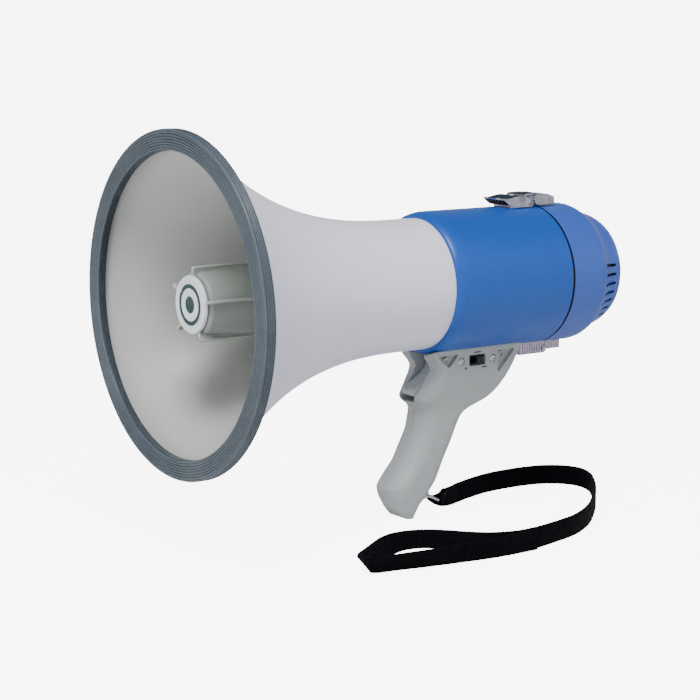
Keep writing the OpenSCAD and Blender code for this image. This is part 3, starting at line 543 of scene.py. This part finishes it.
def cup_plastic():
    f = Finish("cup_plastic", (0.31, 0.345, 0.32), 0.38, Specular_IOR_Level=0.45)
    f.mottle(30, 0.06, (0.36, 0.37, 0.35))
    # Painted highlight: edges such as the fins' tips and the cup's front rim are tinted near white.
    f.tint(f.edge_mask(0.0013, 0.01, 0.16), (0.92, 0.92, 0.90))
    f.gloss(90, 0.05)
    f.round_edges(0.0007)
    f.grain(1000, 0.00003)
    return f.done()


def badge_plastic():
    f = Finish("badge_plastic", (0.86, 0.93, 0.95), 0.25, Specular_IOR_Level=0.5)
    length = axis_distance(f)
    ring = f.math("MULTIPLY", f.ramp(length, 0.0106, 0.0110), f.ramp(length, 0.0140, 0.0136))
    dot = f.ramp(length, 0.0059, 0.0055)
    f.tint(f.math("MAXIMUM", ring, dot), (0.006, 0.042, 0.042))
    f.mottle(60, 0.05, (0.5, 0.5, 0.48))
    f.gloss(120, 0.05)
    f.round_edges(0.0004)
    f.grain(1500, 0.00001)
    return f.done()


def body_blue(name, colour, violet, rough):
    f = Finish(name, colour, rough, Specular_IOR_Level=0.45, Coat_Weight=0.06, Coat_Roughness=0.25)
    f.mottle(16, 0.25, violet)
    # Painted highlight: edges get a lighter blue.
    f.tint(f.edge_mask(0.0006, 0.06, 0.4), [c * 1.08 for c in colour])
    speckles(f, 2400, 1, 0.60, 0.78, 0.10, (0.30, 0.42, 0.70))
    f.gloss(60, 0.05)
    f.round_edges(0.0007)
    f.grain(800, 0.000022, 2)
    f.grain(24, 0.00018, 1)
    return f.done()


def handle_plastic(name, colour):
    f = Finish(name, colour, 0.50, Specular_IOR_Level=0.42)
    f.mottle(26, 0.08, (0.30, 0.33, 0.34))
    # Painted highlight: edges get a lighter grey.
    f.tint(f.edge_mask(0.0010), [min(1, c * 1.22 + 0.02) for c in colour])
    speckles(f, 1500, 2, 0.56, 0.74, 0.16, (0.24, 0.26, 0.27))
    speckles(f, 1900, 1, 0.58, 0.74, 0.16, (0.70, 0.73, 0.74))
    f.gloss(80, 0.06)
    f.round_edges(0.0011)
    f.grain(1300, 0.00006, 3, 0.6)
    return f.done()


def dark(name, colour, rough, grain=1200, depth=0.00004, edge=(0.10, 0.10, 0.11)):
    f = Finish(name, colour, rough, Specular_IOR_Level=0.45)
    f.mottle(60, 0.3, [c * 1.7 for c in colour])
    # Painted highlight: edges are tinted lighter than the dark colour.
    f.tint(f.edge_mask(0.0005), edge)
    f.gloss(110, 0.07)
    f.round_edges(0.0004)
    f.grain(grain, depth)
    return f.done()


def metal(name, colour, rough, brush=(1, 1, 1), depth=0.00001, smudge=0.08, edge_radius=0.00035):
    """Plated metal: fine brushing stretched along one axis, smudged gloss and slightly bright edges."""
    f = Finish(name, colour, rough, 1.0)
    stretched = f.add("ShaderNodeMapping", {"Vector": f.place, "Scale": brush}).outputs["Vector"]
    lines = f.noise(900, 4, 0.6, stretched)
    speckles(f, 130, 3, 0.4, 0.75, 0.35, [c * 0.72 for c in colour])
    f.tint(f.ramp(lines, 0.35, 0.7, 0, 0.18), [c * 0.8 for c in colour])
    f.gloss(160, smudge)
    f.round_edges(edge_radius)
    f.bump(lines, depth)
    return f.done()


def plated_sheet(name, colour, top_dark_reflection=None, ribs=0.0):
    """Bright plated sheet metal. Upward faces may carry a painted dark reflection of the ceiling, and there
    the sheet is not metallic; ribs add fine lines across, with painted shade between them.
    """
    f = Finish(name, colour, 0.24, 1.0, Specular_IOR_Level=0.06)
    own = f.add("ShaderNodeTexCoord").outputs["Normal"]
    up = f.ramp(f.add("ShaderNodeSeparateXYZ", {"Vector": own}).outputs[2], 0.60, 0.80)
    brushed = f.add("ShaderNodeMapping", {"Vector": f.place, "Scale": (1, 0.06, 1)}).outputs[0]
    lines = f.noise(700, 4, 0.6, brushed)
    speckles(f, 150, 3, 0.4, 0.7, 0.45, [c * 0.55 for c in colour])
    f.tint(f.ramp(lines, 0.35, 0.7, 0, 0.25), [c * 0.6 for c in colour])
    # Painted highlight: edges are tinted bright.
    f.tint(f.edge_mask(0.0004, 0.05, 0.4), (0.80, 0.81, 0.86))
    if top_dark_reflection:
        # Painted reflection: upward faces take the dark colour of the ceiling they would mirror, and are made
        # non-metallic and rougher there.
        f.tint(up, top_dark_reflection)
        f.put(f.shader.inputs["Metallic"], f.math("SUBTRACT", 1.0, up))
        f.rough = f.math("ADD", f.rough, f.math("MULTIPLY", up, 0.26))
    f.gloss(180, 0.08)
    f.round_edges(0.0004)
    if ribs:
        waves = waves_along(f, f.split()[1], ribs)
        # Painted shade in the grooves between the ribs.
        f.tint(f.ramp(waves, -0.2, -0.9, 0, 0.5), [c * 0.25 for c in colour])
        f.bump(waves, 0.0003)
    f.bump(lines, 0.00001)
    return f.done()


def screw_metal():
    """Polished screw heads, with painted shade darkening them towards the recess and the rim."""
    f = Finish("screw_steel", (0.66, 0.66, 0.67), 0.16, 1.0)
    speckles(f, 420, 2, 0.40, 0.62, 0.75, (0.12, 0.12, 0.13))
    # Painted shade: edges and the recess are tinted near black.
    f.tint(f.edge_mask(0.0006, 0.03, 0.3), (0.10, 0.10, 0.12))
    f.gloss(300, 0.08)
    f.round_edges(0.0004)
    f.grain(1500, 0.00001)
    return f.done()


WIRE_PITCH = 0.00035


def copper_winding():
    f = Finish("copper_wire", (0.62, 0.27, 0.11), 0.32, 1.0)
    f.mottle(200, 0.3, (0.30, 0.10, 0.04))
    f.bump(waves_along(f, f.split()[1], WIRE_PITCH), 0.00008)
    return f.done()


def cell_wrap():
    """Shrink wrap in two colours that meet part of the way along the cell."""
    f = Finish("cell_wrap", (0.52, 0.36, 0.07), 0.30, Specular_IOR_Level=0.5)
    f.tint(f.ramp(f.split()[1], 0.026, 0.0262), (0.03, 0.03, 0.035))
    f.mottle(80, 0.1, (0.3, 0.2, 0.05))
    f.gloss(120, 0.05)
    f.grain(700, 0.00002)
    return f.done()


PICK, END = 0.0011, 0.0009      # spacing of the webbing's threads across and along it
RUN_X, RUN_Y = 0.72, 0.69       # the strap's general direction on the floor


def webbing():
    """Black nylon webbing: a fine herringbone across the lengthwise ribs, with a faint navy sheen."""
    f = Finish("strap_webbing", (0.0012, 0.0013, 0.0020), 0.70, Specular_IOR_Level=0.05, Sheen_Weight=0.015,
               Sheen_Roughness=0.4, Sheen_Tint=(0.10, 0.13, 0.28, 1.0))
    x, y, z = f.split()
    along = f.math("ADD", f.math("MULTIPLY", x, RUN_X), f.math("MULTIPLY", y, RUN_Y))
    rib = f.math("PINGPONG", z, PICK)
    picks = waves_along(f, f.math("ADD", along, rib), PICK)
    ends = waves_along(f, z, END)
    weave = f.math("ADD", picks, f.math("MULTIPLY", ends, 0.6))
    f.tint(f.ramp(weave, 0.0, 1.6, 0, 0.55), (0.0045, 0.0050, 0.0085))
    f.mottle(300, 0.4, (0.0025, 0.0027, 0.0045))
    speckles(f, 4200, 2, 0.62, 0.78, 0.4, (0.012, 0.013, 0.020))
    f.gloss(250, 0.08)
    f.bump(weave, 0.00012)
    f.grain(5000, 0.00005, 2)
    return f.done()


# Near-black rubber of the gasket's lip, which also stands in for the shade in the seam.
def gasket_black():
    f = Finish("gasket_black", (0.0020, 0.0022, 0.0035), 0.75, Specular_IOR_Level=0.12)
    f.mottle(200, 0.4, (0.006, 0.006, 0.008))
    f.gloss(150, 0.08)
    f.grain(1200, 0.00004)
    return f.done()


def thread():
    f = Finish("strap_thread", (0.010, 0.010, 0.014), 0.5, Sheen_Weight=0.1)
    f.mottle(900, 0.5, (0.03, 0.03, 0.04))
    f.grain(6000, 0.00003)
    return f.done()


M = {
    "bell_plastic": bell_plastic(),
    "rim_rubber": rim_rubber(),
    "cup_plastic": cup_plastic(),
    "badge_plastic": badge_plastic(),
    "housing_blue": body_blue("housing_blue", (0.003, 0.082, 0.425), (0.010, 0.080, 0.435), 0.42),
    "cover_blue": body_blue("cover_blue", (0.036, 0.110, 0.480), (0.054, 0.106, 0.50), 0.42),
    "handle_plastic": handle_plastic("handle_plastic", (0.40, 0.43, 0.43)),
    "trigger_plastic": handle_plastic("trigger_plastic", (0.44, 0.47, 0.47)),
    "black_plastic": dark("black_plastic", (0.012, 0.012, 0.014), 0.42),
    "black_rubber": dark("black_rubber", (0.010, 0.010, 0.012), 0.65, 900, 0.00006, (0.04, 0.04, 0.045)),
    "chrome_steel": metal("chrome_steel", (0.60, 0.61, 0.65), 0.16, (1, 0.05, 1), 0.000006),
    # The latch's upward faces carry a painted dark reflection.
    "latch_plate": plated_sheet("latch_plate", (0.74, 0.74, 0.84), (0.008, 0.020, 0.036)),
    "hinge_plate": plated_sheet("hinge_plate", (0.60, 0.54, 0.70), ribs=0.0023),
    "screw_steel": screw_metal(),
    "spring_steel": metal("spring_steel", (0.55, 0.55, 0.57), 0.30, (1, 1, 1), 0.000006),
    "driver_steel": metal("driver_steel", (0.56, 0.57, 0.58), 0.38, (1, 1, 1), 0.00002),
    "ferrite": dark("ferrite", (0.030, 0.030, 0.034), 0.70, 700, 0.00008, (0.12, 0.12, 0.13)),
    "diaphragm_film": dark("diaphragm_film", (0.20, 0.12, 0.05), 0.35, 500, 0.00003, (0.3, 0.2, 0.1)),
    "copper_wire": copper_winding(),
    "cell_wrap": cell_wrap(),
    "contact_brass": metal("contact_brass", (0.70, 0.52, 0.24), 0.26, (0.1, 1, 1)),
    "circuit_green": dark("circuit_green", (0.012, 0.110, 0.045), 0.30, 500, 0.00003, (0.20, 0.30, 0.10)),
    "transformer_iron": dark("transformer_iron", (0.10, 0.075, 0.055), 0.50, 800, 0.0001, (0.25, 0.2, 0.15)),
    "wire_red": dark("wire_red", (0.35, 0.012, 0.012), 0.35, 800, 0.00003, (0.5, 0.06, 0.05)),
    "mic_metal": metal("mic_metal", (0.62, 0.62, 0.63), 0.30),
    "strap_webbing": webbing(),
    "strap_thread": thread(),
    "gasket_black": gasket_black(),
    "print_black": dark("print_black", (0.012, 0.013, 0.016), 0.5),
}

slots = {s["node"]: s["material_slot"] for s in frame["record"]["subparts"]}
own_finish = {"latch_lever": "latch_plate", "latch_hook": "latch_plate", "latch_base": "latch_plate",
              "hinge_base": "hinge_plate", "hinge_leaf": "hinge_plate"}
for name, node in NODES.items():
    node.data.materials.clear()
    node.data.materials.append(M[own_finish.get(name, slots[name])])
pieces = [(strap, "strap_webbing"), (fold, "strap_webbing"), (seams, "strap_thread"), (rim, "rim_rubber"),
          (lip, "gasket_black"), (marks, "print_black")]
for piece, name in pieces + [(piece, "hinge_plate") for piece in saddles]:
    piece.data.materials.append(M[name])


# ---- Floor and light ----

FLOOR_GLOW, SWEEP_GLOW = 7.0, 7.5   # how bright the floor and the sweep look straight from the camera
HALF = 6                            # half the floor's side
ROOM = (("From Min", 0.05), ("From Max", 0.55), ("To Min", 0.92), ("To Max", 0.12))
corners = [(x * HALF, y * HALF, FLOOR_Z) for x, y in ((-1, -1), (1, -1), (1, 1), (-1, 1))]
floor = mesh_object("floor", corners, [(0, 1, 2, 3)])
pale = Finish("floor_paper", (0.86, 0.86, 0.86), 0.85, Specular_IOR_Level=0.1, Emission_Color=(1, 1, 1, 1))
pale.mottle(3, 0.01, (0.8, 0.8, 0.8))
seen = pale.add("ShaderNodeLightPath").outputs["Is Camera Ray"]
pale.put(pale.shader.inputs["Emission Strength"], pale.math("MULTIPLY", seen, FLOOR_GLOW))
floor.data.materials.append(pale.done())

# A white sweep behind the part. The room that lights it is bright low down with a darker ceiling.
world = bpy.data.worlds.new("studio")
world.use_nodes = True
bpy.context.scene.world = world
tree = world.node_tree
split = tree.nodes.new("ShaderNodeSeparateXYZ")
tree.links.new(tree.nodes.new("ShaderNodeTexCoord").outputs["Generated"], split.inputs[0])
room = tree.nodes.new("ShaderNodeMapRange")
for key, value in ROOM:
    room.inputs[key].default_value = value
tree.links.new(split.outputs[2], room.inputs["Value"])
sweep = tree.nodes.new("ShaderNodeMix")
sweep.inputs[3].default_value = SWEEP_GLOW
tree.links.new(tree.nodes.new("ShaderNodeLightPath").outputs["Is Camera Ray"], sweep.inputs[0])
tree.links.new(room.outputs[0], sweep.inputs[2])
back = tree.nodes["Background"]
back.inputs["Color"].default_value = (0.97, 0.98, 1.0, 1)
tree.links.new(sweep.outputs[0], back.inputs["Strength"])


def area_light(name, place, target, size, power, colour=(1, 1, 1)):
    """A rectangular light turned towards a target."""
    data = bpy.data.lights.new(name, "AREA")
    data.shape = "RECTANGLE"
    data.size, data.size_y = size
    data.energy = power
    data.color = colour
    light = bpy.data.objects.new(name, data)
    light.location = place
    light.visible_camera = False
    light.rotation_euler = (Vector(target) - Vector(place)).to_track_quat("-Z", "Y").to_euler()
    bpy.context.scene.collection.objects.link(light)


area_light("key", (0.75, -0.75, 1.7), (0, -0.05, 0.1), (0.9, 0.7), 44)
area_light("fill", (1.4, 0.8, 1.2), (0, 0.05, 0.1), (1.0, 1.0), 4, (0.88, 0.90, 1.0))
area_light("mouth", (-0.5, -1.3, -0.03), (0, -0.1, 0.13), (0.5, 0.4), 8.5)
